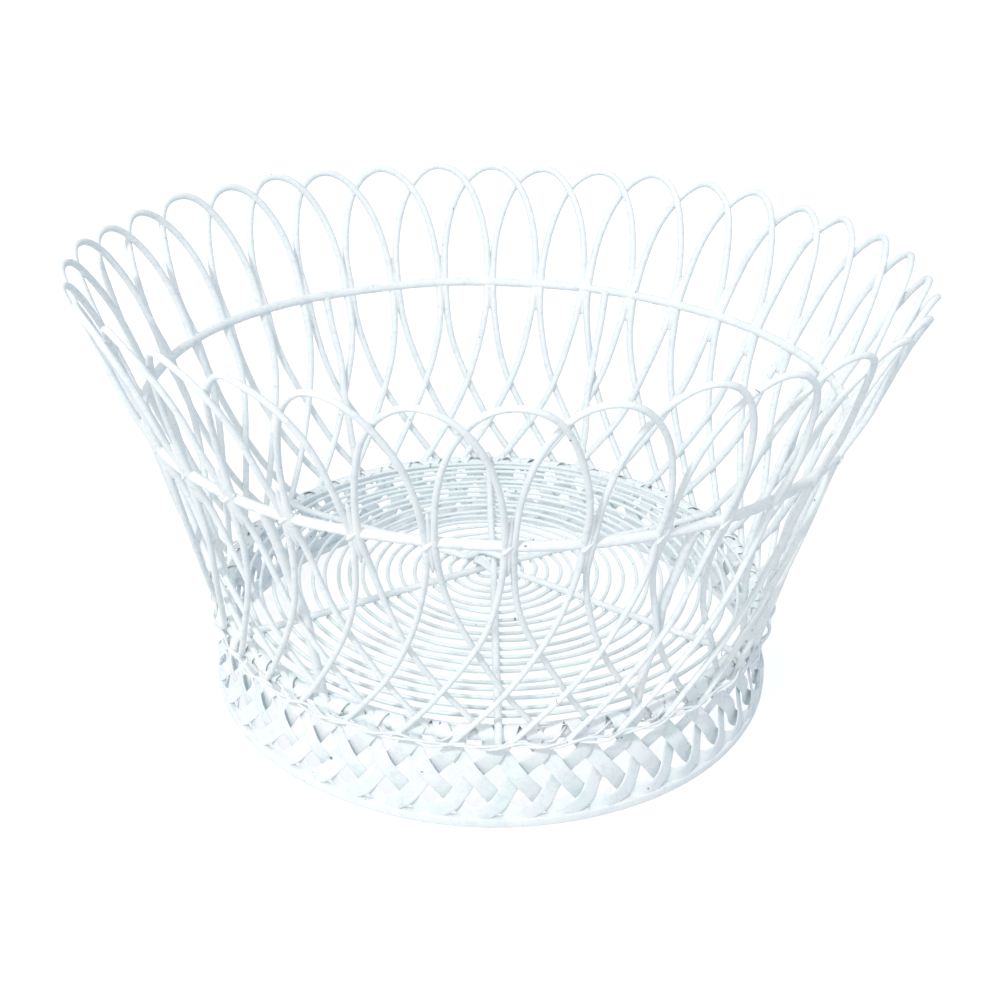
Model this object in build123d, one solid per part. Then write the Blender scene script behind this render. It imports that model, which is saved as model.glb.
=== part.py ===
from build123d import *

import os
from math import copysign, cos, exp, pi, radians, sin, tanh

# Round wirework basket, in millimetres, +Z up, origin at the centre of its underside.
# A looped wire wall stands on a woven ribbon foot, and a floor of wire rings lies between them.

TOUCH_GAP = 0.15  # clearance left between pieces that bear on each other

# Overall form
RIM_HEIGHT = 202.0  # centre line of the wire at the top of an arch
RIM_RADIUS = 180.0
UPPER_RING_HEIGHT = 142.0
UPPER_RING_RADIUS = 154.7
UPPER_RING_WIRE = 4.6
LOWER_RING_HEIGHT = 42.0
LOWER_RING_WIRE = 4.2
OUTER_HOOP_HEIGHT = 43.0
OUTER_HOOP_WIRE = 2.2

# Looped wall: each arch spans two pitches and its legs lean back below the upper ring
ARCH_COUNT = 36
ARCH_PITCH = 360.0 / ARCH_COUNT
FIRST_ARCH_AZIMUTH = 2.0
ARCH_WIRE = 2.8
WALL_FOOT_RADIUS = 134.0  # middle of the two crossing layers at the lower ring
KNOT_SHARE = 0.94  # where a leg passes the upper ring, in pitches from its own arch
LEG_LEAN = 1.8  # how far a leg leans back below the upper ring, in pitches
LEAN_POWER = 2.1
LAYER_OFFSET = 1.65  # right-hand legs lie outside the middle layer, left-hand legs inside
LAYER_RATE = 4.0
PINCH_LENGTH = 12.0  # height over which both layers close up at the upper ring
STATIONS_PER_STAGE = 6

# Ties that lash the legs to the upper ring
TIE_WIRE = 1.2
TIE_TILT = 45.0

# Uprights between the rings
STRUT_WIRE = 3.8
STRUT_BOW = 1.2
STRUT_AZIMUTHS = (7.5, 67.5, 127.5, 187.5, 237.5, 297.5)

# Floor
SPOKE_WIRE = 3.8
SPOKE_COUNT = 3
SPOKE_STEP = 60.0
FIRST_SPOKE_AZIMUTH = 30.0
SPOKE_REACH = 129.6
HUB_FLAT = 6.0  # half length over which a spoke lies on the one beneath it
HUB_RAMP = 16.0
HUB_BEND = 8.0
FLOOR_RING_WIRE = 1.8
FLOOR_RING_COUNT = 20
FLOOR_RING_PITCH = 6.1
FIRST_FLOOR_RING_RADIUS = 8.5

# Foot: a base band under interlaced U-shaped ribbons
BAND_HEIGHT = 4.4
BAND_INNER_RADIUS = 131.2
BAND_OUTER_RADIUS = 134.8
BAND_EDGE = 1.0
RIBBON_COUNT = 45
RIBBON_PITCH = 360.0 / RIBBON_COUNT
RIBBONS_PER_SECTOR = 5
FIRST_RIBBON_AZIMUTH = -92.57
RIBBON_WIDTH = 8.0
RIBBON_THICKNESS = 0.8
RIBBON_RADIUS = 133.0
RIBBON_WEAVE = 0.95  # how far a ribbon swings out and in as it passes over and under
RIBBON_SLOPE = 52.0
RIBBON_BEND = 13.0
RIBBON_TOP = 38.4
RIBBON_STATIONS = 14
NEARBY = 0.1  # share of a station's step over which a ribbon's direction is taken

# Dimensions that follow from the ones above
KNOT_RADIUS = UPPER_RING_RADIUS + (UPPER_RING_WIRE + ARCH_WIRE) / 2 + TOUCH_GAP
ARCH_RISE = RIM_HEIGHT - UPPER_RING_HEIGHT
LEG_DROP = UPPER_RING_HEIGHT - LOWER_RING_HEIGHT
WALL_SLOPE = (KNOT_RADIUS - WALL_FOOT_RADIUS) / LEG_DROP
FLARE = (RIM_RADIUS - KNOT_RADIUS - WALL_SLOPE * ARCH_RISE) / ARCH_RISE**2
LAYER_REACH = LAYER_OFFSET + ARCH_WIRE / 2 + TOUCH_GAP
LOWER_RING_RADIUS = WALL_FOOT_RADIUS - LAYER_REACH - LOWER_RING_WIRE / 2
WALL_RADIUS_AT_HOOP = WALL_FOOT_RADIUS + WALL_SLOPE * (OUTER_HOOP_HEIGHT - LOWER_RING_HEIGHT)
OUTER_HOOP_RADIUS = WALL_RADIUS_AT_HOOP + LAYER_REACH + OUTER_HOOP_WIRE / 2
SPOKE_HEIGHT = LOWER_RING_HEIGHT + (LOWER_RING_WIRE + SPOKE_WIRE) / 2 + TOUCH_GAP
FLOOR_RING_HEIGHT = SPOKE_HEIGHT - (SPOKE_WIRE + FLOOR_RING_WIRE) / 2 - TOUCH_GAP
RIBBON_FOOT = BAND_HEIGHT + RIBBON_WIDTH / 2 + TOUCH_GAP


def polar(radius, azimuth, height):
    """Point at a radius and an azimuth in degrees."""
    angle = radians(azimuth)
    return Vector(radius * cos(angle), radius * sin(angle), height)


def wire_along(path, diameter):
    """Round wire swept along a path."""
    start = Plane(origin=path @ 0, z_dir=path % 0)
    return sweep(start * Circle(diameter / 2), path=path)


def hoop(radius, height, diameter):
    """Closed ring of round wire."""
    return Pos(0, 0, height) * Torus(radius, diameter / 2)


def wall_radius(height):
    """Middle layer of the wall: a cone up to the upper ring and a widening flare above it."""
    above = max(height - UPPER_RING_HEIGHT, 0)
    return WALL_FOOT_RADIUS + WALL_SLOPE * (height - LOWER_RING_HEIGHT) + FLARE * above**2


def arch_point(stage):
    """Centre line of an arch: 0 is its top, -1 and 1 pass the upper ring, -2 and 2 are its ends."""
    reach = abs(stage)
    if reach <= 1:
        turn = reach * pi / 2
        share = KNOT_SHARE * sin(turn)
        height = UPPER_RING_HEIGHT + ARCH_RISE * cos(turn)
        spread = tanh(LAYER_RATE * share)
    else:
        fall = reach - 1
        share = KNOT_SHARE - LEG_LEAN * fall**LEAN_POWER
        height = UPPER_RING_HEIGHT - LEG_DROP * fall
        spread = 1
    side = copysign(1, stage)
    pinch = 1 - exp(-(((height - UPPER_RING_HEIGHT) / PINCH_LENGTH) ** 2))
    layer = side * LAYER_OFFSET * spread * pinch
    return polar(wall_radius(height) + layer, side * share * ARCH_PITCH, height)


def make_arch_wires():
    """One wire per arch, all bent alike and stepped round the rim."""
    stations = range(-2 * STATIONS_PER_STAGE, 2 * STATIONS_PER_STAGE + 1)
    path = Spline([arch_point(station / STATIONS_PER_STAGE) for station in stations])
    master = wire_along(path, ARCH_WIRE)
    return {
        f"arch_wire_{number + 1:02d}": Rot(0, 0, FIRST_ARCH_AZIMUTH + number * ARCH_PITCH) * master
        for number in range(ARCH_COUNT)
    }


def make_rings():
    """Upper ring inside the wall, lower ring inside it and outer hoop around it."""
    return {
        "upper_ring": hoop(UPPER_RING_RADIUS, UPPER_RING_HEIGHT, UPPER_RING_WIRE),
        "lower_ring_inner": hoop(LOWER_RING_RADIUS, LOWER_RING_HEIGHT, LOWER_RING_WIRE),
        "lower_ring_outer": hoop(OUTER_HOOP_RADIUS, OUTER_HOOP_HEIGHT, OUTER_HOOP_WIRE),
    }


def make_ties():
    """One slanting loop at each knot, around the upper ring and the two legs that meet there."""
    inner = UPPER_RING_RADIUS - UPPER_RING_WIRE / 2
    outer = KNOT_RADIUS + ARCH_WIRE / 2
    middle = (inner + outer) / 2
    leg_side = wall_radius(UPPER_RING_HEIGHT) * radians((1 - KNOT_SHARE) * ARCH_PITCH)
    slant = 1 / cos(radians(TIE_TILT))
    leg_corner = Vector(KNOT_RADIUS - middle + ARCH_WIRE / 2, slant * (leg_side + ARCH_WIRE / 2))
    loop = leg_corner.length + TIE_WIRE / 2 + TOUCH_GAP
    tie = Pos(middle, 0, UPPER_RING_HEIGHT) * Rot(TIE_TILT, 0, 0) * Torus(loop, TIE_WIRE / 2)
    azimuths = [FIRST_ARCH_AZIMUTH + number * ARCH_PITCH for number in range(ARCH_COUNT)]
    ties = [Rot(0, 0, azimuth) * tie for azimuth in azimuths]
    return {"upper_ring_ties": Compound(children=ties)}


def make_struts():
    """Slightly bowed uprights that butt on the lower ring and under the upper ring."""
    low = Vector(LOWER_RING_RADIUS, 0, LOWER_RING_HEIGHT)
    high = Vector(UPPER_RING_RADIUS, 0, UPPER_RING_HEIGHT)
    along = (high - low).normalized()
    start = low + along * (LOWER_RING_WIRE / 2 + TOUCH_GAP)
    end = high - along * (UPPER_RING_WIRE / 2 + TOUCH_GAP)
    middle = (start + end) / 2 - Vector(STRUT_BOW, 0, 0)
    master = wire_along(ThreePointArc(start, middle, end), STRUT_WIRE)
    return {
        f"strut_{number}": Rot(0, 0, azimuth) * master
        for number, azimuth in enumerate(STRUT_AZIMUTHS, start=1)
    }


def make_spokes():
    """Wires right across the floor, each humped over the ones laid before it at the hub."""
    spokes = {}
    for number in range(SPOKE_COUNT):
        lift = number * (SPOKE_WIRE + TOUCH_GAP)
        low, high = SPOKE_HEIGHT, SPOKE_HEIGHT + lift
        corners = [(SPOKE_REACH, low), (HUB_RAMP, low), (HUB_FLAT, high)]
        right = [Vector(along, 0, height) for along, height in corners]
        left = [Vector(-along, 0, height) for along, height in reversed(corners)]
        path = FilletPolyline(right + left, radius=HUB_BEND) if lift else Line(right[0], left[-1])
        azimuth = FIRST_SPOKE_AZIMUTH + number * SPOKE_STEP
        spokes[f"floor_spoke_{number + 1}"] = Rot(0, 0, azimuth) * wire_along(path, SPOKE_WIRE)
    return spokes


def make_floor_rings():
    """Evenly spaced wire rings hung under the spokes."""
    radii = [FIRST_FLOOR_RING_RADIUS + number * FLOOR_RING_PITCH for number in range(FLOOR_RING_COUNT)]
    rings = [hoop(radius, FLOOR_RING_HEIGHT, FLOOR_RING_WIRE) for radius in radii]
    return {"floor_rings": Compound(children=rings)}


def ribbon_place(travel):
    """Centre line of a ribbon, by the distance along it from the bottom of its U.

    It crosses its neighbours every half pitch, and swings to the other side of them each time.
    """
    slope = radians(RIBBON_SLOPE)
    bend_length = RIBBON_BEND * slope
    reach = abs(travel)
    turn = min(reach / RIBBON_BEND, slope)
    straight = max(reach - bend_length, 0)
    across = RIBBON_BEND * sin(turn) + straight * cos(slope)
    height = RIBBON_FOOT + RIBBON_BEND * (1 - cos(turn)) + straight * sin(slope)
    share = across / (RIBBON_RADIUS * radians(RIBBON_PITCH))
    swing = sin(pi * share) if share < 1 / 2 else -cos(2 * pi * share)
    side = copysign(1, travel)
    azimuth = side * share * RIBBON_PITCH
    return polar(RIBBON_RADIUS + side * RIBBON_WEAVE * swing, azimuth, height)


def make_foot_ribbons():
    """U-shaped flat ribbons, woven over and under each other, in equal sectors of the foot."""
    slope = radians(RIBBON_SLOPE)
    rise = RIBBON_TOP - RIBBON_FOOT - RIBBON_BEND * (1 - cos(slope))
    end = RIBBON_BEND * slope + rise / sin(slope)
    step = end / RIBBON_STATIONS
    sections = []
    for station in range(-RIBBON_STATIONS, RIBBON_STATIONS + 1):
        here = ribbon_place(station * step)
        along = ribbon_place((station + NEARBY) * step) - ribbon_place((station - NEARBY) * step)
        outward = Vector(here.X, here.Y, 0)
        across_ribbon = Plane(origin=here, x_dir=outward.cross(along), z_dir=along)
        sections.append(across_ribbon * Rectangle(RIBBON_WIDTH, RIBBON_THICKNESS))
    master = loft(sections)
    sectors = {}
    for sector in range(RIBBON_COUNT // RIBBONS_PER_SECTOR):
        first = sector * RIBBONS_PER_SECTOR
        numbers = range(first, first + RIBBONS_PER_SECTOR)
        azimuths = [FIRST_RIBBON_AZIMUTH + number * RIBBON_PITCH for number in numbers]
        ribbons = [Rot(0, 0, azimuth) * master for azimuth in azimuths]
        sectors[f"foot_ribbons_{sector + 1}"] = Compound(children=ribbons)
    return sectors


def make_base_band():
    """Band that the basket stands on, with a flat underside and eased edges."""
    band = Cylinder(BAND_OUTER_RADIUS, BAND_HEIGHT) - Cylinder(BAND_INNER_RADIUS, BAND_HEIGHT)
    edges = band.edges().filter_by(GeomType.CIRCLE)
    return {"base_band": Pos(0, 0, BAND_HEIGHT / 2) * fillet(edges, BAND_EDGE)}


os.makedirs("parts", exist_ok=True)
pieces = {
    **make_arch_wires(),
    **make_rings(),
    **make_ties(),
    **make_struts(),
    **make_spokes(),
    **make_floor_rings(),
    **make_foot_ribbons(),
    **make_base_band(),
}
for name, piece in pieces.items():
    export_step(piece, f"parts/{name}.step")
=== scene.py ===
from math import pi, radians

import bpy
import numpy as np
from mathutils import Matrix, Vector


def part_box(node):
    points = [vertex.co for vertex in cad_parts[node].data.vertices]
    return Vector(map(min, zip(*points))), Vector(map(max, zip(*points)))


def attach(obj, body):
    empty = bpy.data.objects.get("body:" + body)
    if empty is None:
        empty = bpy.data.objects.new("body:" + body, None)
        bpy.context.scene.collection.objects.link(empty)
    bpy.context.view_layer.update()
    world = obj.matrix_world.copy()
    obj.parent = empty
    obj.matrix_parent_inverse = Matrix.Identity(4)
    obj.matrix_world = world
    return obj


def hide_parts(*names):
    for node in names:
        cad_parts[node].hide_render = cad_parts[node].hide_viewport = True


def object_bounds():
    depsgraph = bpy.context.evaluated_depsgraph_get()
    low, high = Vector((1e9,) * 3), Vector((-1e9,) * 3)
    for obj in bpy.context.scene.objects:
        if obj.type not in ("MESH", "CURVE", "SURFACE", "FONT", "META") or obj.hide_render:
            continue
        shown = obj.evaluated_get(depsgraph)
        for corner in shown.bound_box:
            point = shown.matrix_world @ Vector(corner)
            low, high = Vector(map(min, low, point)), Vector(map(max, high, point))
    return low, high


# Visual model of a round, white-painted wirework basket, in metres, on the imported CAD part.
# Every piece stands for one CAD node and keeps its layout, with the unevenness of handwork.

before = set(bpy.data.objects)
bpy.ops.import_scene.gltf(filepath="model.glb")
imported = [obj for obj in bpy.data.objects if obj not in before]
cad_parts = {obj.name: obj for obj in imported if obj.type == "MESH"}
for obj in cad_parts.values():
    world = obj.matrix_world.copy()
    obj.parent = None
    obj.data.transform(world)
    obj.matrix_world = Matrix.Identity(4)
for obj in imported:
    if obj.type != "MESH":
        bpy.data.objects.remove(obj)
cad_low, cad_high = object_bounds()

MM = 0.001
TURN = 2 * pi
UP = np.array([0.0, 0.0, 1.0])
EAST = np.array([1.0, 0.0, 0.0])
rng = np.random.default_rng(1907)


def ring_of(node):
    """Centre-line radius, middle height and wire diameter of a packed ring."""
    low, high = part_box(node)
    wire = high.z - low.z
    return (high.x - low.x - wire) / 2, (high.z + low.z) / 2, wire


# Rings, as packed, but for the bundle round the lower ring, which is drawn in a little
FOOT_DRAW = 1.5 * MM
UPPER_RADIUS, UPPER_HEIGHT, UPPER_WIRE = ring_of("upper_ring")
packed_lower_radius, LOWER_HEIGHT, LOWER_WIRE = ring_of("lower_ring_inner")
packed_hoop_radius, HOOP_HEIGHT, _ = ring_of("lower_ring_outer")
LOWER_RADIUS = packed_lower_radius - FOOT_DRAW
HOOP_RADIUS = packed_hoop_radius - FOOT_DRAW

# Looped wall, as in the CAD part
ARCH_COUNT = 36
ARCH_PITCH = 360 / ARCH_COUNT
FIRST_ARCH_AZIMUTH = 2.0
ARCH_WIRE = 2.8 * MM
RIM_HEIGHT = cad_high.z - ARCH_WIRE / 2
RIM_RADIUS = 180 * MM
WALL_FOOT_RADIUS = 134 * MM
KNOT_SHARE = 0.945  # where a leg passes the upper ring, in pitches from its own arch
LEG_LEAN = 1.8
LEAN_POWER = 2.1
LAYER_OFFSET = 1.65 * MM
LAYER_RATE = 4
PINCH_LENGTH = 12 * MM
KNOT_RADIUS = UPPER_RADIUS + (UPPER_WIRE + ARCH_WIRE) / 2
ARCH_RISE = RIM_HEIGHT - UPPER_HEIGHT
FOOT_SAG = 2.5 * MM  # the legs end a little below the middle of the lower ring
LEG_DROP = UPPER_HEIGHT - LOWER_HEIGHT + FOOT_SAG
WALL_SLOPE = (KNOT_RADIUS - WALL_FOOT_RADIUS) / LEG_DROP
FLARE = (RIM_RADIUS - KNOT_RADIUS - WALL_SLOPE * ARCH_RISE) / ARCH_RISE**2
ARCH_STATIONS = 193

# Unevenness of the hand-bent wall
WIRE_BACK = 1.30  # the wire is heavier on one side of the basket than on the other
WIRE_FRONT = 0.86
CROWN_UNEVEN = 1.1 * MM
TALL_CROWNS_AZIMUTH = 299  # a few arches at the front stand a little taller than the rest
TALL_CROWNS_SPREAD = 15
TALL_CROWNS_RISE = 4.5 * MM
CROWN_SWAY = 0.03  # sideways, in arch pitches
LEG_WANDER = 0.035
CROWN_WANDER_SHARE = 0.4
DEPTH_WANDER = 0.35 * MM
KNOT_SWELL = 0.22  # paint thickens the legs where they meet
KNOT_LENGTH = 13 * MM
WALL_HOLLOW = 4.5 * MM  # how far the wall hangs in from the CAD part's straight cone
HOLLOW_START = 8 * MM
HOLLOW_FULL = 52 * MM
HOLLOW_FADE = 116 * MM
HOLLOW_END = 166 * MM

# Feet of the legs: the inner ones hook round the lower ring, the outer ones tuck in over it
HOOK_STATIONS = 14
INNER_HOOK = 3.4 * MM
INNER_HOOK_END = -150  # degrees, from level outwards
INNER_HOOK_DRIFT = 1.2
OUTER_HOOK = 3.0 * MM
OUTER_HOOK_END = -80
OUTER_HOOK_DRIFT = -0.6

# Rings' paint and the wires round the lower ring
RING_STATIONS = 540
LOWER_RING_STATIONS = 480
UPPER_RING_SWELL = 0.93
UPPER_RING_SWELL_SWING = 0.07  # heavier at the back, lighter at the front
LOWER_RING_SWELL = 1.2
LOWER_RING_UNEVEN = 0.5 * MM
BINDING_STATIONS = 1080
STRAND_TURNS = 31
STRAND_SET_IN = 3.0 * MM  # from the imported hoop
STRAND_PULL = 0.8 * MM  # how far the strands bend in between the legs
STRAND_RADIUS = 0.6 * MM
STRAND_RISE = 0.7 * MM
STRAND_WANDER = (0.4 * MM, 0.5 * MM)  # in radius and height
SPIRAL_TURNS = 37
SPIRAL_UNEVEN = 0.9
SPIRAL_OFFSET = 1.4 * MM
SPIRAL_REACH = 2.7 * MM
SPIRAL_DROP = 0.6 * MM
SPIRAL_RISE = 2.6 * MM
SPIRAL_WIRE_RADIUS = 0.45 * MM

# Ties and webs of paint at the knots
TIE_WIRE = 1.7 * MM
TIE_HALF_TURN = 105  # degrees
TIE_STATIONS = 26
TIE_SQUARENESS = 0.7
TIE_PRESS = 0.85  # how far out a tie lies on its legs, in leg radii
TIE_HALF_WIDTH = 2.5 * MM
TIE_TILT = 0.35 * MM
TIE_RISE = 2.3 * MM
WEB_LENGTH = 14 * MM
WEB_DEPTH = 1.15
WEB_TAPER = 0.9

# Uprights
STRUT_WIRE = 3.8 * MM
STRUT_BOW = 3.6 * MM
STRUT_AZIMUTHS = (7.5, 67.5, 127.5, 187.5, 237.5, 297.5)
STRUT_SWAY = 0.35
STRUT_TOP_SWELL = 0.3
STRUT_FOOT_SWELL = 0.2
STRUT_SWELL_LENGTH = 5 * MM

# Floor
SPOKE_WIRE = 3.2 * MM
SPOKE_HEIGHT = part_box("floor_spoke_1")[1].z - SPOKE_WIRE / 2 - 0.3 * MM
SPOKE_ENDS = ((27.0, 212.0), (92.0, 271.5), (152.0, 325.0))
SPOKE_HOOK_GAP = 1.5 * MM
SPOKE_HOOK_ANGLES = (85, -40)
SPOKE_RISE_START = 18 * MM  # from the lower ring
SPOKE_RISE_LENGTH = 16 * MM
SPOKE_BEND = 20 * MM
HUB_FLAT = 5 * MM
HUB_RAMP = 17 * MM
HUB_TURNS = 3.2
HUB_WAVES = 3  # over and under, once for each spoke
HUB_WAVE_PHASE = 0.7
HUB_WAVE_HEIGHT = 3.6 * MM
HUB_RADIUS = 5.5 * MM
HUB_GROWTH = 4.5 * MM
HUB_WIRE_RADIUS = 1.1 * MM
FLOOR_WIRE = 1.8 * MM
FLOOR_RING_COUNT = 20
FLOOR_RING_PITCH = 6.1 * MM
FIRST_FLOOR_RING_RADIUS = 8.5 * MM
FLOOR_RING_HEIGHT = SPOKE_HEIGHT - (SPOKE_WIRE + FLOOR_WIRE) / 2
FLOOR_RING_JITTER = 0.3 * MM
FLOOR_RING_UNEVEN = 0.4 * MM
FIRST_LASHED_RING = 2
LASHING_WIRE = 0.5 * MM
LASHING_SLANT = 1.0
LASHING_SLANT_SPREAD = 0.4

# Foot
BAND_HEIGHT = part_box("base_band")[1].z
BAND_OUTER_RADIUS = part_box("base_band")[1].x
BAND_THICKNESS = 3.6 * MM
BAND_UNEVEN = 0.12 * MM
RIBBON_COUNT = 45
RIBBON_PITCH = 360 / RIBBON_COUNT
RIBBONS_PER_SECTOR = 5
FIRST_RIBBON_AZIMUTH = -92.57
RIBBON_WIDTH = 7.2 * MM
RIBBON_END_NARROWING = 0.35
RIBBON_THICKNESS = 0.9 * MM
RIBBON_RADIUS = 133 * MM
RIBBON_WEAVE = 1.5 * MM
RIBBON_BELLY = 1.2 * MM  # how far the bottom of a U bulges out over the base band
FOOT_TAPER = 4.2 * MM  # how much narrower the foot is above its base than at it
FOOT_TAPER_HEIGHT = 26 * MM
RIBBON_SLOPE = radians(52)
RIBBON_BEND = 13 * MM
RIBBON_FOOT = BAND_HEIGHT + RIBBON_WIDTH / 2 - 1.4 * MM
RIBBON_STRAIGHT_TOP = 37 * MM  # above this height a ribbon end folds over the lower ring
RIBBON_FOLD = 3.4 * MM
RIBBON_FOLD_START = -20  # degrees, from level outwards
RIBBON_FOLD_TURN = 165
RIBBON_FOLD_DRIFT = 0.30  # ribbon pitches
RIBBON_SETTLE = 0.8 * MM  # how far in the ribbons lie where they reach the ring
RIBBON_SETTLE_START = 31 * MM
RIBBON_SETTLE_LENGTH = 6 * MM
RIBBON_SPACING_JITTER = 0.12  # degrees
RIBBON_SWAY = 0.1
RIBBON_DEPTH_WANDER = 0.15 * MM

SOFT_LIGHT_FROM = (-0.57, -0.55, 0.61)


# Curves and meshes


def polar(radius, azimuth, height):
    """Points at radii, azimuths in degrees and heights, one per row."""
    angle = np.radians(azimuth)
    points = np.broadcast_arrays(radius * np.cos(angle), radius * np.sin(angle), height)
    return np.stack(points, axis=-1)


def wobble(share, slowest=1, fastest=9):
    """Smooth random wave of about unit strength, closed on itself as share goes from 0 to 1."""
    cycles = np.arange(slowest, fastest + 1)
    weights = 1 / np.sqrt(cycles)
    waves = np.sin(TURN * np.outer(share, cycles) + rng.uniform(0, TURN, len(cycles)))
    return waves @ weights / np.linalg.norm(weights)


def ease(value):
    """Smooth step from 0 to 1."""
    share = np.clip(value, 0, 1)
    return share * share * (3 - 2 * share)


def unit(vectors):
    return vectors / np.linalg.norm(vectors, axis=-1, keepdims=True)


def headings(path, closed):
    """Direction of travel at each point of a path."""
    if closed:
        return unit(np.roll(path, -1, axis=0) - np.roll(path, 1, axis=0))
    return unit(np.gradient(path, axis=0))


def carried_sides(along):
    """Directions across an open path, carried along it without twist."""
    side = np.cross(along[0], UP if abs(along[0][2]) < 0.9 else EAST)
    sides = []
    for step in along:
        side = unit(side - side.dot(step) * step)
        sides.append(side)
    return np.array(sides)


def travel(path):
    """Distance along a path at each of its points."""
    steps = np.linalg.norm(np.diff(path, axis=0), axis=1)
    return np.concatenate([[0], np.cumsum(steps)])


class Body:
    """Points and faces of one piece, gathered from the bars that it is made of."""

    LUMP_LENGTHS = (4 * MM, 7 * MM, 15 * MM)

    def __init__(self):
        self.points = []
        self.faces = []
        self.count = 0

    def lumps(self, path, angle):
        """Uneven paint round a bar: its relative swelling along it and round it."""
        reach = travel(path)
        total = np.zeros((len(path), len(angle)))
        for length in self.LUMP_LENGTHS:
            cycles = max(round(reach[-1] / length), 1)
            phase = rng.uniform(0, TURN)
            round_it = rng.integers(0, 3) * angle
            total += np.sin(TURN * cycles * reach[:, None] / reach[-1] + round_it + phase)
        return total / len(self.LUMP_LENGTHS)

    def add_bar(
        self, path, across, above=None, closed=False, facing=None, square=2, sides=12, lump=0.04
    ):
        """Sweep a section of given half sizes along a path: round at square 2, boxier above that."""
        along = headings(path, closed)
        if facing is not None:
            side = unit(facing - np.sum(facing * along, axis=1, keepdims=True) * along)
        elif closed:
            side = unit(np.cross(along, UP))
        else:
            side = carried_sides(along)
        over = np.cross(along, side)
        angle = np.arange(sides) * TURN / sides
        shape_across = np.sign(np.cos(angle)) * np.abs(np.cos(angle)) ** (2 / square)
        shape_above = np.sign(np.sin(angle)) * np.abs(np.sin(angle)) ** (2 / square)
        swell = 1 + lump * self.lumps(path, angle)
        across = np.broadcast_to(across, len(path))[:, None] * swell
        above = across if above is None else np.broadcast_to(above, len(path))[:, None] * swell
        rows = (
            path[:, None, :]
            + (across * shape_across)[:, :, None] * side[:, None, :]
            + (above * shape_above)[:, :, None] * over[:, None, :]
        )
        self.add_rows(rows, closed)

    def add_rows(self, rows, closed):
        """Skin a stack of closed sections; the stack closes on itself or gets flat ends."""
        index = self.count + np.arange(rows.shape[0] * rows.shape[1]).reshape(rows.shape[:2])
        here = index if closed else index[:-1]
        ahead = np.roll(index, -1, axis=0) if closed else index[1:]
        corners = [here, np.roll(here, -1, axis=1), np.roll(ahead, -1, axis=1), ahead]
        self.faces += np.stack(corners, axis=-1).reshape(-1, 4).tolist()
        if not closed:
            self.faces += [index[0][::-1].tolist(), index[-1].tolist()]
        self.points.append(rows.reshape(-1, 3))
        self.count += index.size


def cut_ends(path, radius):
    """Radius along an open wire whose cut ends are softened by paint."""
    end_share, softened_length = 0.55, 3 * radius
    reach = travel(path)
    to_end = np.minimum(reach, reach[-1] - reach)
    return radius * np.minimum(1, end_share + to_end / softened_length)


def make_piece(name, body, material, node):
    mesh = bpy.data.meshes.new(name)
    mesh.from_pydata(np.concatenate(body.points).tolist(), [], body.faces)
    mesh.shade_smooth()
    mesh.materials.append(material)
    piece = bpy.data.objects.new(name, mesh)
    bpy.context.scene.collection.objects.link(piece)
    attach(piece, "root")
    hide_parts(node)
    return piece


# Materials

SMUDGE = (0.64, 0.70, 0.77)
DARK_METAL = (0.20, 0.24, 0.32)
CLOUD_SCALE = 55  # noise cells per metre
SMUDGE_SCALE = 260
CHIP_SCALE = 330
CHIP_EDGE = 0.025
BRUSHING_SCALE = 150
GRAIN_SCALE = 700
BUMP_DEPTH = 0.35 * MM
ROUGHNESS_SPREAD = 0.18


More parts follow.
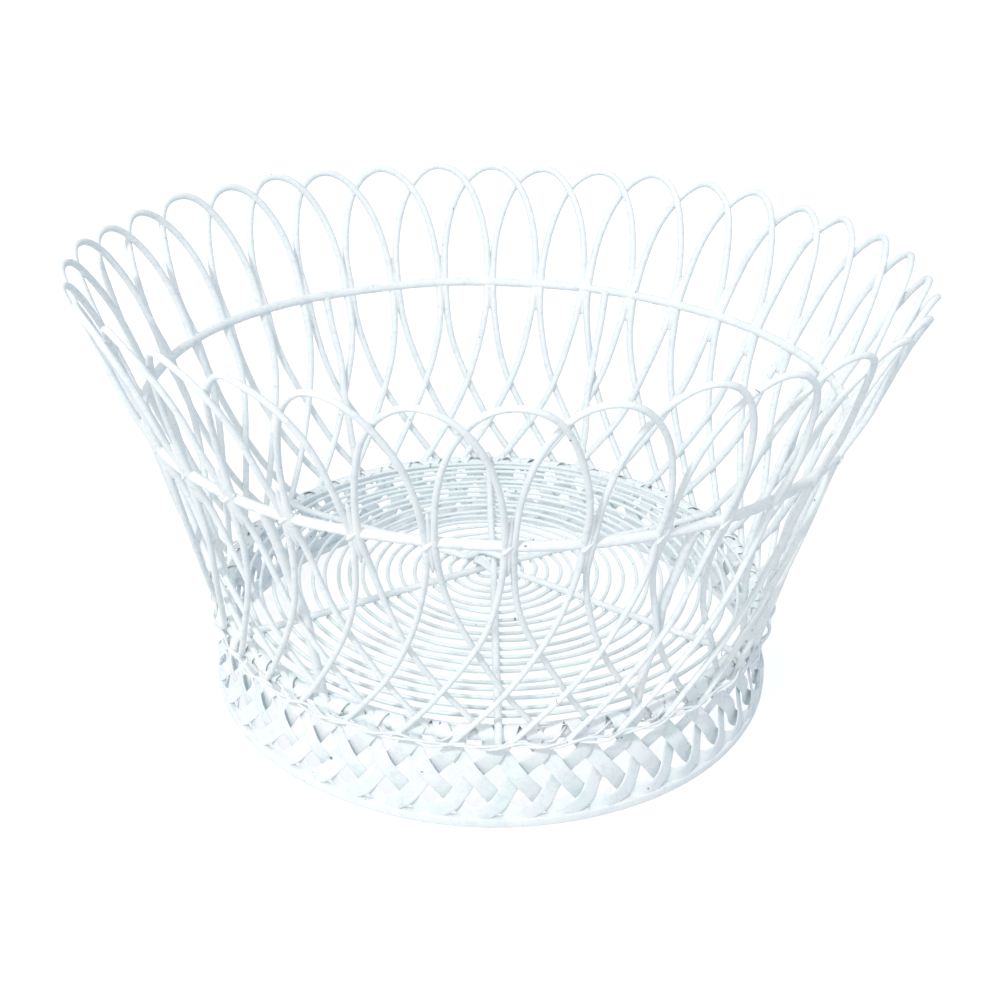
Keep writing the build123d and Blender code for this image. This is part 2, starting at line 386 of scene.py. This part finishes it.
def aged_paint(name, light, shade, chips=0.7, roughness=0.42, grain=0.35):
    """Old white paint: cloudy tone, brushed and grainy surface, small chips down to dark metal."""
    material = bpy.data.materials.new(name)
    material.use_nodes = True
    nodes, links = material.node_tree.nodes, material.node_tree.links
    shader = nodes["Principled BSDF"]
    place = nodes.new("ShaderNodeTexCoord").outputs["Object"]

    def noise(scale, detail, distortion=0.0):
        node = nodes.new("ShaderNodeTexNoise")
        node.inputs["Scale"].default_value = scale
        node.inputs["Detail"].default_value = detail
        node.inputs["Distortion"].default_value = distortion
        links.new(place, node.inputs["Vector"])
        return node.outputs["Fac"]

    def spread(value, low, high, to_low=0.0, to_high=1.0):
        node = nodes.new("ShaderNodeMapRange")
        for number, setting in enumerate((low, high, to_low, to_high), start=1):
            node.inputs[number].default_value = setting
        links.new(value, node.inputs[0])
        return node.outputs[0]

    def mix(share, first, second):
        node = nodes.new("ShaderNodeMix")
        node.data_type = "RGBA"
        links.new(share, node.inputs["Factor"])
        for socket, colour in ((node.inputs[6], first), (node.inputs[7], second)):
            if isinstance(colour, tuple):
                socket.default_value = (*colour, 1)
            else:
                links.new(colour, socket)
        return node.outputs[2]

    def add(first, second):
        node = nodes.new("ShaderNodeMath")
        node.operation = "ADD"
        links.new(first, node.inputs[0])
        links.new(second, node.inputs[1])
        return node.outputs[0]

    clouds = spread(noise(CLOUD_SCALE, 3, 0.6), 0.35, 0.65)
    smudges = spread(noise(SMUDGE_SCALE, 4, 1.2), 0.50, 0.72, 0, 0.5)
    chip_mask = spread(noise(CHIP_SCALE, 3, 0.4), chips, chips + CHIP_EDGE)
    paint = mix(smudges, mix(clouds, shade, light), SMUDGE)
    links.new(mix(chip_mask, paint, DARK_METAL), shader.inputs["Base Color"])
    rough = spread(add(clouds, smudges), 0, 1.5, roughness, roughness + ROUGHNESS_SPREAD)
    links.new(rough, shader.inputs["Roughness"])

    bump = nodes.new("ShaderNodeBump")
    bump.inputs["Strength"].default_value = grain
    bump.inputs["Distance"].default_value = BUMP_DEPTH
    fine = spread(noise(GRAIN_SCALE, 3), 0, 1, 0, 0.6)
    brushed = spread(noise(BRUSHING_SCALE, 2), 0, 1, 0, 1.4)
    heights = add(add(fine, brushed), spread(chip_mask, 0, 1, 0, -0.8))
    links.new(heights, bump.inputs["Height"])
    links.new(bump.outputs["Normal"], shader.inputs["Normal"])
    return material


WHITE = (0.885, 0.91, 0.91)
COOL = (0.825, 0.875, 0.885)
PALE_GREEN = (0.80, 0.885, 0.88)
LAVENDER = (0.885, 0.895, 0.92)
wall_paint = aged_paint("wall_paint", WHITE, COOL, chips=0.745)
ring_paint = aged_paint("ring_paint", WHITE, COOL, chips=0.72, grain=0.5)
tie_paint = aged_paint("tie_paint", WHITE, WHITE, chips=0.74)
strut_paint = aged_paint("strut_paint", WHITE, COOL, chips=0.74)
spoke_paint = aged_paint("spoke_paint", WHITE, COOL, chips=0.72)
floor_paint = aged_paint("floor_paint", COOL, PALE_GREEN, chips=0.72)
ribbon_paint = aged_paint("ribbon_paint", LAVENDER, PALE_GREEN, chips=0.725, roughness=0.5)
band_paint = aged_paint("band_paint", WHITE, COOL, chips=0.73, roughness=0.5)


# Looped wall


def wall_radius(height):
    """Middle layer of the wall: a hollow cone up to the upper ring and a widening flare above it."""
    above = np.maximum(height - UPPER_HEIGHT, 0)
    grown = ease((height - HOLLOW_START) / (HOLLOW_FULL - HOLLOW_START))
    faded = ease((height - HOLLOW_FADE) / (HOLLOW_END - HOLLOW_FADE))
    hollow = WALL_HOLLOW * grown * (1 - faded)
    return WALL_FOOT_RADIUS + WALL_SLOPE * (height - LOWER_HEIGHT) + FLARE * above**2 - hollow


def wire_share(azimuth):
    """How heavy the wall's wire is at an azimuth."""
    middle, swing = (WIRE_BACK + WIRE_FRONT) / 2, (WIRE_BACK - WIRE_FRONT) / 2
    return middle + swing * np.sin(np.radians(azimuth))


def hook(start, size, end, drift):
    """Hook that carries a leg's end round a centre further in, from straight out to an end angle."""
    radius, azimuth, height = start
    angle = np.radians(np.linspace(0, end, HOOK_STATIONS)[1:])
    share = np.linspace(0, 1, HOOK_STATIONS)[1:]
    return polar(
        radius - size + size * np.cos(angle), azimuth + drift * share, height + size * np.sin(angle)
    )


def make_arch(number):
    """One hand-bent arch, from its inner leg's foot over its crown to its outer leg's foot."""
    stage = np.linspace(-2, 2, ARCH_STATIONS)
    reach, side = np.abs(stage), np.sign(stage)
    turn = np.minimum(reach, 1) * pi / 2
    fall = np.maximum(reach - 1, 0)
    crown, free = np.cos(turn), np.sin(pi * fall)
    share = KNOT_SHARE * np.sin(turn) - LEG_LEAN * fall**LEAN_POWER
    height = UPPER_HEIGHT + ARCH_RISE * crown - LEG_DROP * fall
    spread = np.where(reach <= 1, np.tanh(LAYER_RATE * share), 1)
    pinch = 1 - np.exp(-(((height - UPPER_HEIGHT) / PINCH_LENGTH) ** 2))
    along = (stage + 2) / 4
    radius = wall_radius(height) + side * LAYER_OFFSET * spread * pinch
    radius = radius + DEPTH_WANDER * wobble(along, 2, 8) * (crown + free)
    sway = CROWN_SWAY * rng.normal() * crown
    sway = sway + LEG_WANDER * wobble(along, 2, 7) * (free + CROWN_WANDER_SHARE * crown)
    middle = FIRST_ARCH_AZIMUTH + number * ARCH_PITCH
    azimuth = middle + (side * share + sway) * ARCH_PITCH
    off_tall = (middle - TALL_CROWNS_AZIMUTH) / TALL_CROWNS_SPREAD
    uneven = CROWN_UNEVEN * np.clip(rng.normal(), -1, 1)
    uneven = uneven + TALL_CROWNS_RISE * np.exp(-(off_tall**2))
    height = height + uneven * crown
    feet = [(radius[end], azimuth[end], height[end]) for end in (0, -1)]
    inner = hook(feet[0], INNER_HOOK, INNER_HOOK_END, INNER_HOOK_DRIFT)
    outer = hook(feet[1], OUTER_HOOK, OUTER_HOOK_END, OUTER_HOOK_DRIFT)
    path = np.concatenate([inner[::-1], polar(radius, azimuth, height), outer])
    heavy = wire_share(np.degrees(np.arctan2(path[:, 1], path[:, 0])))
    at_knot = np.exp(-(((path[:, 2] - UPPER_HEIGHT) / KNOT_LENGTH) ** 2))
    heavy = heavy * (1 + KNOT_SWELL * at_knot)
    body = Body()
    body.add_bar(path, cut_ends(path, ARCH_WIRE / 2 * heavy))
    name, node = f"arch_{number + 1:02d}", f"arch_wire_{number + 1:02d}"
    make_piece(name, body, wall_paint, node)


def make_wall():
    for number in range(ARCH_COUNT):
        make_arch(number)


# Rings and ties


def round_path(radius, height, stations, uneven=0.35 * MM, cycles=12):
    """Closed hoop that is slightly out of true."""
    share = np.arange(stations) / stations
    off_radius = uneven * wobble(share, 2, cycles)
    off_height = uneven * wobble(share, 2, cycles)
    return polar(radius + off_radius, share * 360, height + off_height)


def make_upper_ring():
    body = Body()
    path = round_path(UPPER_RADIUS, UPPER_HEIGHT, RING_STATIONS)
    heavy = UPPER_RING_SWELL + UPPER_RING_SWELL_SWING * path[:, 1] / UPPER_RADIUS
    body.add_bar(path, UPPER_WIRE / 2 * heavy, closed=True, sides=16, lump=0.06)
    make_piece("top_ring", body, ring_paint, "upper_ring")


def make_lower_ring():
    body = Body()
    path = round_path(LOWER_RADIUS, LOWER_HEIGHT, LOWER_RING_STATIONS, uneven=LOWER_RING_UNEVEN)
    body.add_bar(path, LOWER_WIRE / 2 * LOWER_RING_SWELL, closed=True, sides=16, lump=0.07)
    make_piece("foot_ring", body, ring_paint, "lower_ring_inner")


def make_outer_hoop():
    """Two thin strands laid round each other, and a wire that spirals round the whole bundle."""
    body = Body()
    share = np.arange(BINDING_STATIONS) / BINDING_STATIONS
    azimuth = share * 360
    pull = STRAND_PULL * np.cos(np.radians(ARCH_COUNT * azimuth))
    for phase in (0, pi):
        twist = TURN * STRAND_TURNS * share + phase
        radius = HOOP_RADIUS - STRAND_SET_IN + pull + STRAND_RADIUS * np.cos(twist)
        radius = radius + STRAND_WANDER[0] * wobble(share, 5, 30)
        height = HOOP_HEIGHT - FOOT_SAG + STRAND_RISE * np.sin(twist)
        height = height + STRAND_WANDER[1] * wobble(share, 5, 30)
        body.add_bar(polar(radius, azimuth, height), STRAND_RADIUS, closed=True, sides=8)
    spiral = TURN * SPIRAL_TURNS * share + SPIRAL_UNEVEN * wobble(share, 6, 24)
    radius = LOWER_RADIUS + SPIRAL_OFFSET + SPIRAL_REACH * np.cos(spiral)
    height = LOWER_HEIGHT - SPIRAL_DROP + SPIRAL_RISE * np.sin(spiral)
    coarse = polar(radius, azimuth, height)
    fine = np.linspace(0, 1, 4 * BINDING_STATIONS, endpoint=False)
    path = np.stack([np.interp(fine, share, line, period=1) for line in coarse.T], axis=-1)
    facing = np.broadcast_to(UP, path.shape) + path
    body.add_bar(path, SPIRAL_WIRE_RADIUS, closed=True, facing=facing, sides=6)
    make_piece("foot_ring_binding", body, ring_paint, "lower_ring_outer")


def add_tie(body, azimuth):
    """Saddle of thin wire over a pair of legs, tucked in above and below the upper ring."""
    middle = (UPPER_RADIUS + KNOT_RADIUS) / 2
    angle = np.radians(np.linspace(-TIE_HALF_TURN, TIE_HALF_TURN, TIE_STATIONS))
    heavy = ARCH_WIRE / 2 * wire_share(azimuth)
    reach = wall_radius(UPPER_HEIGHT) - middle + TIE_PRESS * heavy
    tilt = rng.normal(0, TIE_TILT)
    radius = middle + reach * np.sign(np.cos(angle)) * np.abs(np.cos(angle)) ** TIE_SQUARENESS
    sideways = (TIE_HALF_WIDTH + tilt) * np.sin(angle)
    height = UPPER_HEIGHT + TIE_RISE * np.sin(angle)
    path = polar(radius, azimuth + np.degrees(sideways / middle), height)
    body.add_bar(path, cut_ends(path, TIE_WIRE / 2), sides=8)


def add_web(body, azimuth):
    """Web of paint that fills the groove between two legs at a knot."""
    share = np.linspace(-1, 1, 17)
    height = UPPER_HEIGHT + WEB_LENGTH * share
    path = polar(wall_radius(height), azimuth, height)
    aside = np.broadcast_to(polar(1.0, azimuth + 90, 0.0), path.shape)
    size = ARCH_WIRE / 2 * wire_share(azimuth) * np.sqrt(1 - WEB_TAPER * share**2)
    body.add_bar(path, size, WEB_DEPTH * size, facing=aside)


def make_ties():
    body = Body()
    for add_part in (add_tie, add_web):
        for number in range(ARCH_COUNT):
            add_part(body, FIRST_ARCH_AZIMUTH + number * ARCH_PITCH)
    make_piece("top_ring_ties", body, tie_paint, "upper_ring_ties")


def make_struts():
    """Uprights that swell into the rings at both ends, where paint has filled the joints."""
    for number, azimuth in enumerate(STRUT_AZIMUTHS, start=1):
        share = np.linspace(0, 1, 60)
        bow = STRUT_BOW * np.sin(pi * share)
        radius = LOWER_RADIUS + (UPPER_RADIUS - LOWER_RADIUS) * share - bow
        height = LOWER_HEIGHT + (UPPER_HEIGHT - LOWER_HEIGHT) * share
        sway = STRUT_SWAY * np.sin(pi * share) * wobble(share, 1, 3)
        path = polar(radius, azimuth + sway, height)
        reach = travel(path)
        swell = STRUT_TOP_SWELL * np.exp(-(reach[-1] - reach) / STRUT_SWELL_LENGTH)
        swell = swell + STRUT_FOOT_SWELL * np.exp(-reach / STRUT_SWELL_LENGTH)
        body = Body()
        body.add_bar(path, STRUT_WIRE / 2 * (1 + swell), sides=14, lump=0.06)
        make_piece(f"upright_{number}", body, strut_paint, f"strut_{number}")


# Floor


def spoke_profile(number):
    """Distance from the hub and height along half a spoke, with its hook over the lower ring."""
    lift = number * SPOKE_WIRE
    hook_size = LOWER_WIRE / 2 + SPOKE_WIRE / 2 + SPOKE_HOOK_GAP
    crest = LOWER_HEIGHT + hook_size
    out = np.linspace(0, LOWER_RADIUS - 1 * MM, 110)
    rise = ease((out - (LOWER_RADIUS - SPOKE_RISE_START)) / SPOKE_RISE_LENGTH)
    hump = 1 - ease((out - HUB_FLAT) / (HUB_RAMP - HUB_FLAT))
    height = SPOKE_HEIGHT + lift * hump + (crest - SPOKE_HEIGHT) * rise
    angle = np.radians(np.linspace(*SPOKE_HOOK_ANGLES, 12))
    out = np.concatenate([out, LOWER_RADIUS + hook_size * np.cos(angle)])
    return out, np.concatenate([height, LOWER_HEIGHT + hook_size * np.sin(angle)])


def spoke_point(number, out):
    """Place in plan at a signed distance from the hub, on a wire that bends gently there."""
    start, end = (polar(1.0, azimuth, 0.0) for azimuth in SPOKE_ENDS[number])
    ahead, aside = (end - start) / 2, (end + start) / 2
    off_line = np.sqrt(out**2 + SPOKE_BEND**2) - SPOKE_BEND
    return np.outer(out, ahead) + np.outer(off_line, aside)


def make_spokes():
    for number in range(len(SPOKE_ENDS)):
        out, height = spoke_profile(number)
        signed = np.concatenate([-out[:0:-1], out])
        path = spoke_point(number, signed)
        path[:, 2] = np.concatenate([height[:0:-1], height])
        body = Body()
        body.add_bar(path, cut_ends(path, SPOKE_WIRE / 2), sides=14, lump=0.05)
        add_lashings(body, number)
        if number == len(SPOKE_ENDS) - 1:
            add_hub_winding(body)
        name, node = f"cross_wire_{number + 1}", f"floor_spoke_{number + 1}"
        make_piece(name, body, spoke_paint, node)


def add_lashings(body, number):
    """Turns of thin wire that bind each floor ring to the spoke above it."""
    angle = np.radians(np.linspace(-30, 330, 20))
    half_width = SPOKE_WIRE / 2
    half_height = (SPOKE_WIRE + FLOOR_WIRE) / 2
    middle = SPOKE_HEIGHT - FLOOR_WIRE / 2
    for ring in range(FIRST_LASHED_RING, FLOOR_RING_COUNT):
        for side in (-1, 1):
            out = side * (FIRST_FLOOR_RING_RADIUS + ring * FLOOR_RING_PITCH)
            here, there = spoke_point(number, np.array([out, out + 1 * MM]))
            ahead = unit(there - here)
            aside = np.cross(UP, ahead)
            slant = rng.normal(LASHING_SLANT, LASHING_SLANT_SPREAD) * MM
            path = (
                here
                + np.outer(half_width * np.cos(angle), aside)
                + np.outer(slant * np.cos(angle), ahead)
                + np.outer(middle + half_height * np.sin(angle), UP)
            )
            body.add_bar(path, LASHING_WIRE / 2, sides=6)


def add_hub_winding(body):
    """Wire wound over and under the three crossing spokes."""
    share = np.linspace(0, 1, 150)
    angle = TURN * HUB_TURNS * share
    radius = HUB_RADIUS + HUB_GROWTH * share
    wave = np.cos(HUB_WAVES * angle + HUB_WAVE_PHASE)
    height = SPOKE_HEIGHT + SPOKE_WIRE + HUB_WAVE_HEIGHT * (1 - 0.5 * share) * wave
    path = polar(radius, np.degrees(angle), height)
    body.add_bar(path, cut_ends(path, HUB_WIRE_RADIUS), sides=8)


def make_floor_rings():
    body = Body()
    for number in range(FLOOR_RING_COUNT):
        radius = FIRST_FLOOR_RING_RADIUS + number * FLOOR_RING_PITCH
        radius = radius + rng.normal(0, FLOOR_RING_JITTER)
        stations = 48 + 12 * number
        path = round_path(radius, FLOOR_RING_HEIGHT, stations, uneven=FLOOR_RING_UNEVEN, cycles=9)
        body.add_bar(path, FLOOR_WIRE / 2, closed=True, sides=10)
    make_piece("floor_wires", body, floor_paint, "floor_rings")


# Foot


def ribbon_path():
    """Radius, azimuth and height along a U that weaves past others and folds over the ring."""
    bend_length = RIBBON_BEND * RIBBON_SLOPE
    bend_rise = RIBBON_BEND * (1 - np.cos(RIBBON_SLOPE))
    straight_length = (RIBBON_STRAIGHT_TOP - RIBBON_FOOT - bend_rise) / np.sin(RIBBON_SLOPE)
    reach = np.linspace(0, bend_length + straight_length, 44)
    turn = np.minimum(reach / RIBBON_BEND, RIBBON_SLOPE)
    straight = np.maximum(reach - bend_length, 0)
    across = RIBBON_BEND * np.sin(turn) + straight * np.cos(RIBBON_SLOPE)
    height = RIBBON_FOOT + RIBBON_BEND * (1 - np.cos(turn)) + straight * np.sin(RIBBON_SLOPE)
    share = across / (RIBBON_RADIUS * radians(RIBBON_PITCH))
    swing = np.where(share < 0.5, np.sin(pi * share), -np.cos(TURN * share))
    settle = ease((height - RIBBON_SETTLE_START) / RIBBON_SETTLE_LENGTH)
    belly = RIBBON_BELLY * (1 - ease(share / 0.5)) - FOOT_TAPER * ease(height / FOOT_TAPER_HEIGHT)
    fold = np.linspace(0, 1, 16)[1:]
    angle = np.radians(RIBBON_FOLD_START + RIBBON_FOLD_TURN * fold)
    fold_radius = LOWER_RADIUS + RIBBON_FOLD * np.cos(angle)
    fold_height = LOWER_HEIGHT + RIBBON_FOLD * np.sin(angle)
    fold_share = share[-1] + RIBBON_FOLD_DRIFT * fold
    halves = []
    for side in (-1, 1):
        weave = side * RIBBON_WEAVE * swing * (1 - settle)
        radius = RIBBON_RADIUS + weave - RIBBON_SETTLE * settle + belly
        radius = np.concatenate([radius, fold_radius])
        azimuth = side * RIBBON_PITCH * np.concatenate([share, fold_share])
        halves.append((radius, azimuth, np.concatenate([height, fold_height])))
    left, right = halves
    return [np.concatenate([first[:0:-1], second]) for first, second in zip(left, right)]


def add_ribbon(body, number, radius, azimuth, height):
    """One ribbon, flat to the foot below and turned about the lower ring where it folds over it."""
    share = np.linspace(0, 1, len(radius))
    to_end = np.minimum(np.arange(len(radius)), np.arange(len(radius))[::-1])
    rise = np.clip((height - LOWER_HEIGHT + RIBBON_FOLD) / (2 * RIBBON_FOLD), 0, 1)
    middle = FIRST_RIBBON_AZIMUTH + number * RIBBON_PITCH + rng.normal(0, RIBBON_SPACING_JITTER)
    shift = RIBBON_SWAY * wobble(share, 2, 5) * np.minimum(to_end / 8, 1)
    off_radius = RIBBON_DEPTH_WANDER * wobble(share, 2, 6)
    path = polar(radius + off_radius, middle + azimuth + shift, height)
    outward = polar(1.0, middle + azimuth, 0.0)
    centre = polar(LOWER_RADIUS, middle + azimuth, LOWER_HEIGHT)
    facing = unit(outward + ease(rise)[:, None] * (3 * unit(path - centre) - outward))
    width = RIBBON_WIDTH / 2 * (1 - RIBBON_END_NARROWING * np.clip(1 - to_end / 14, 0, 1))
    body.add_bar(path, RIBBON_THICKNESS / 2, width, facing=facing, square=3, sides=20, lump=0.03)


def make_foot_ribbons():
    line = ribbon_path()
    for sector in range(RIBBON_COUNT // RIBBONS_PER_SECTOR):
        body = Body()
        for ribbon in range(RIBBONS_PER_SECTOR):
            add_ribbon(body, sector * RIBBONS_PER_SECTOR + ribbon, *line)
        name, node = f"foot_lattice_{sector + 1}", f"foot_ribbons_{sector + 1}"
        make_piece(name, body, ribbon_paint, node)


def make_base_band():
    body = Body()
    middle_radius = BAND_OUTER_RADIUS - BAND_THICKNESS / 2
    path = round_path(middle_radius, BAND_HEIGHT / 2, RING_STATIONS, uneven=BAND_UNEVEN)
    half_width, half_height = BAND_THICKNESS / 2, BAND_HEIGHT / 2
    body.add_bar(path, half_width, half_height, closed=True, square=4.5, sides=28, lump=0.02)
    make_piece("base_rim", body, band_paint, "base_band")


# Studio


def make_floor():
    """White paper that glows a little, and doesn't light the basket from below."""
    size, grey, glow = 40, 0.54, 0.64
    corners = [(-size, -size, 0), (size, -size, 0), (size, size, 0), (-size, size, 0)]
    mesh = bpy.data.meshes.new("studio_floor")
    mesh.from_pydata(corners, [], [(0, 1, 2, 3)])
    material = bpy.data.materials.new("studio_paper")
    material.use_nodes = True
    shader = material.node_tree.nodes["Principled BSDF"]
    shader.inputs["Base Color"].default_value = (grey, grey, grey, 1)
    shader.inputs["Emission Color"].default_value = (1, 1, 1, 1)
    shader.inputs["Emission Strength"].default_value = glow
    shader.inputs["Roughness"].default_value = 1.0
    shader.inputs["Specular IOR Level"].default_value = 0.0
    mesh.materials.append(material)
    floor = bpy.data.objects.new("studio_floor", mesh)
    floor.visible_diffuse = False
    bpy.context.scene.collection.objects.link(floor)


def make_world():
    """Large soft light from above, one side and the front, that falls off to a dim blue opposite."""
    world = bpy.data.worlds.new("studio")
    bpy.context.scene.world = world
    world.use_nodes = True
    nodes, links = world.node_tree.nodes, world.node_tree.links
    place = nodes.new("ShaderNodeTexCoord")
    facing = nodes.new("ShaderNodeVectorMath")
    facing.operation = "DOT_PRODUCT"
    facing.inputs[1].default_value = SOFT_LIGHT_FROM
    share = nodes.new("ShaderNodeMapRange")
    share.inputs[1].default_value = -1.0
    ramp = nodes.new("ShaderNodeValToRGB")
    dim, bright = ramp.color_ramp.elements
    dim.position, dim.color = 0.20, (0.36, 0.45, 0.57, 1)
    bright.position, bright.color = 0.60, (0.86, 0.885, 0.90, 1)
    links.new(place.outputs["Generated"], facing.inputs[0])
    links.new(facing.outputs["Value"], share.inputs[0])
    links.new(share.outputs[0], ramp.inputs[0])
    links.new(ramp.outputs[0], nodes["Background"].inputs["Color"])


def make_key_light():
    """Small lamp on the photographer's left, for the soft shadows under the wires."""
    data = bpy.data.lights.new("key", "AREA")
    data.shape = "DISK"
    data.size = 0.14
    data.energy = 14
    data.color = (1.0, 0.985, 0.96)
    light = bpy.data.objects.new("key", data)
    aim = Vector((0, 0, 0.08))
    light.location = Vector((-0.65, -1.25, 1.35))
    light.rotation_euler = (aim - light.location).to_track_quat("-Z", "Y").to_euler()
    bpy.context.scene.collection.objects.link(light)


def make_camera():
    """Looks down into the basket from one side, a little out of level."""
    data = bpy.data.cameras.new("camera")
    data.sensor_width = 36
    data.lens = 44.06
    camera = bpy.data.objects.new("camera", data)
    pitch, yaw, roll = 0.4651, -0.0049, 0.0243
    camera.matrix_world = (
        Matrix.Translation((0, -0.5196, 0.3426))
        @ Matrix.Rotation(yaw, 4, "Z")
        @ Matrix.Rotation(pi / 2 - pitch, 4, "X")
        @ Matrix.Rotation(roll, 4, "Z")
    )
    bpy.context.scene.collection.objects.link(camera)
    bpy.context.scene.camera = camera


make_wall()
make_upper_ring()
make_lower_ring()
make_outer_hoop()
make_ties()
make_struts()
make_spokes()
make_floor_rings()
make_foot_ribbons()
make_base_band()
make_floor()
make_world()
make_key_light()
make_camera()
bpy.context.scene.view_settings.view_transform = "Standard"
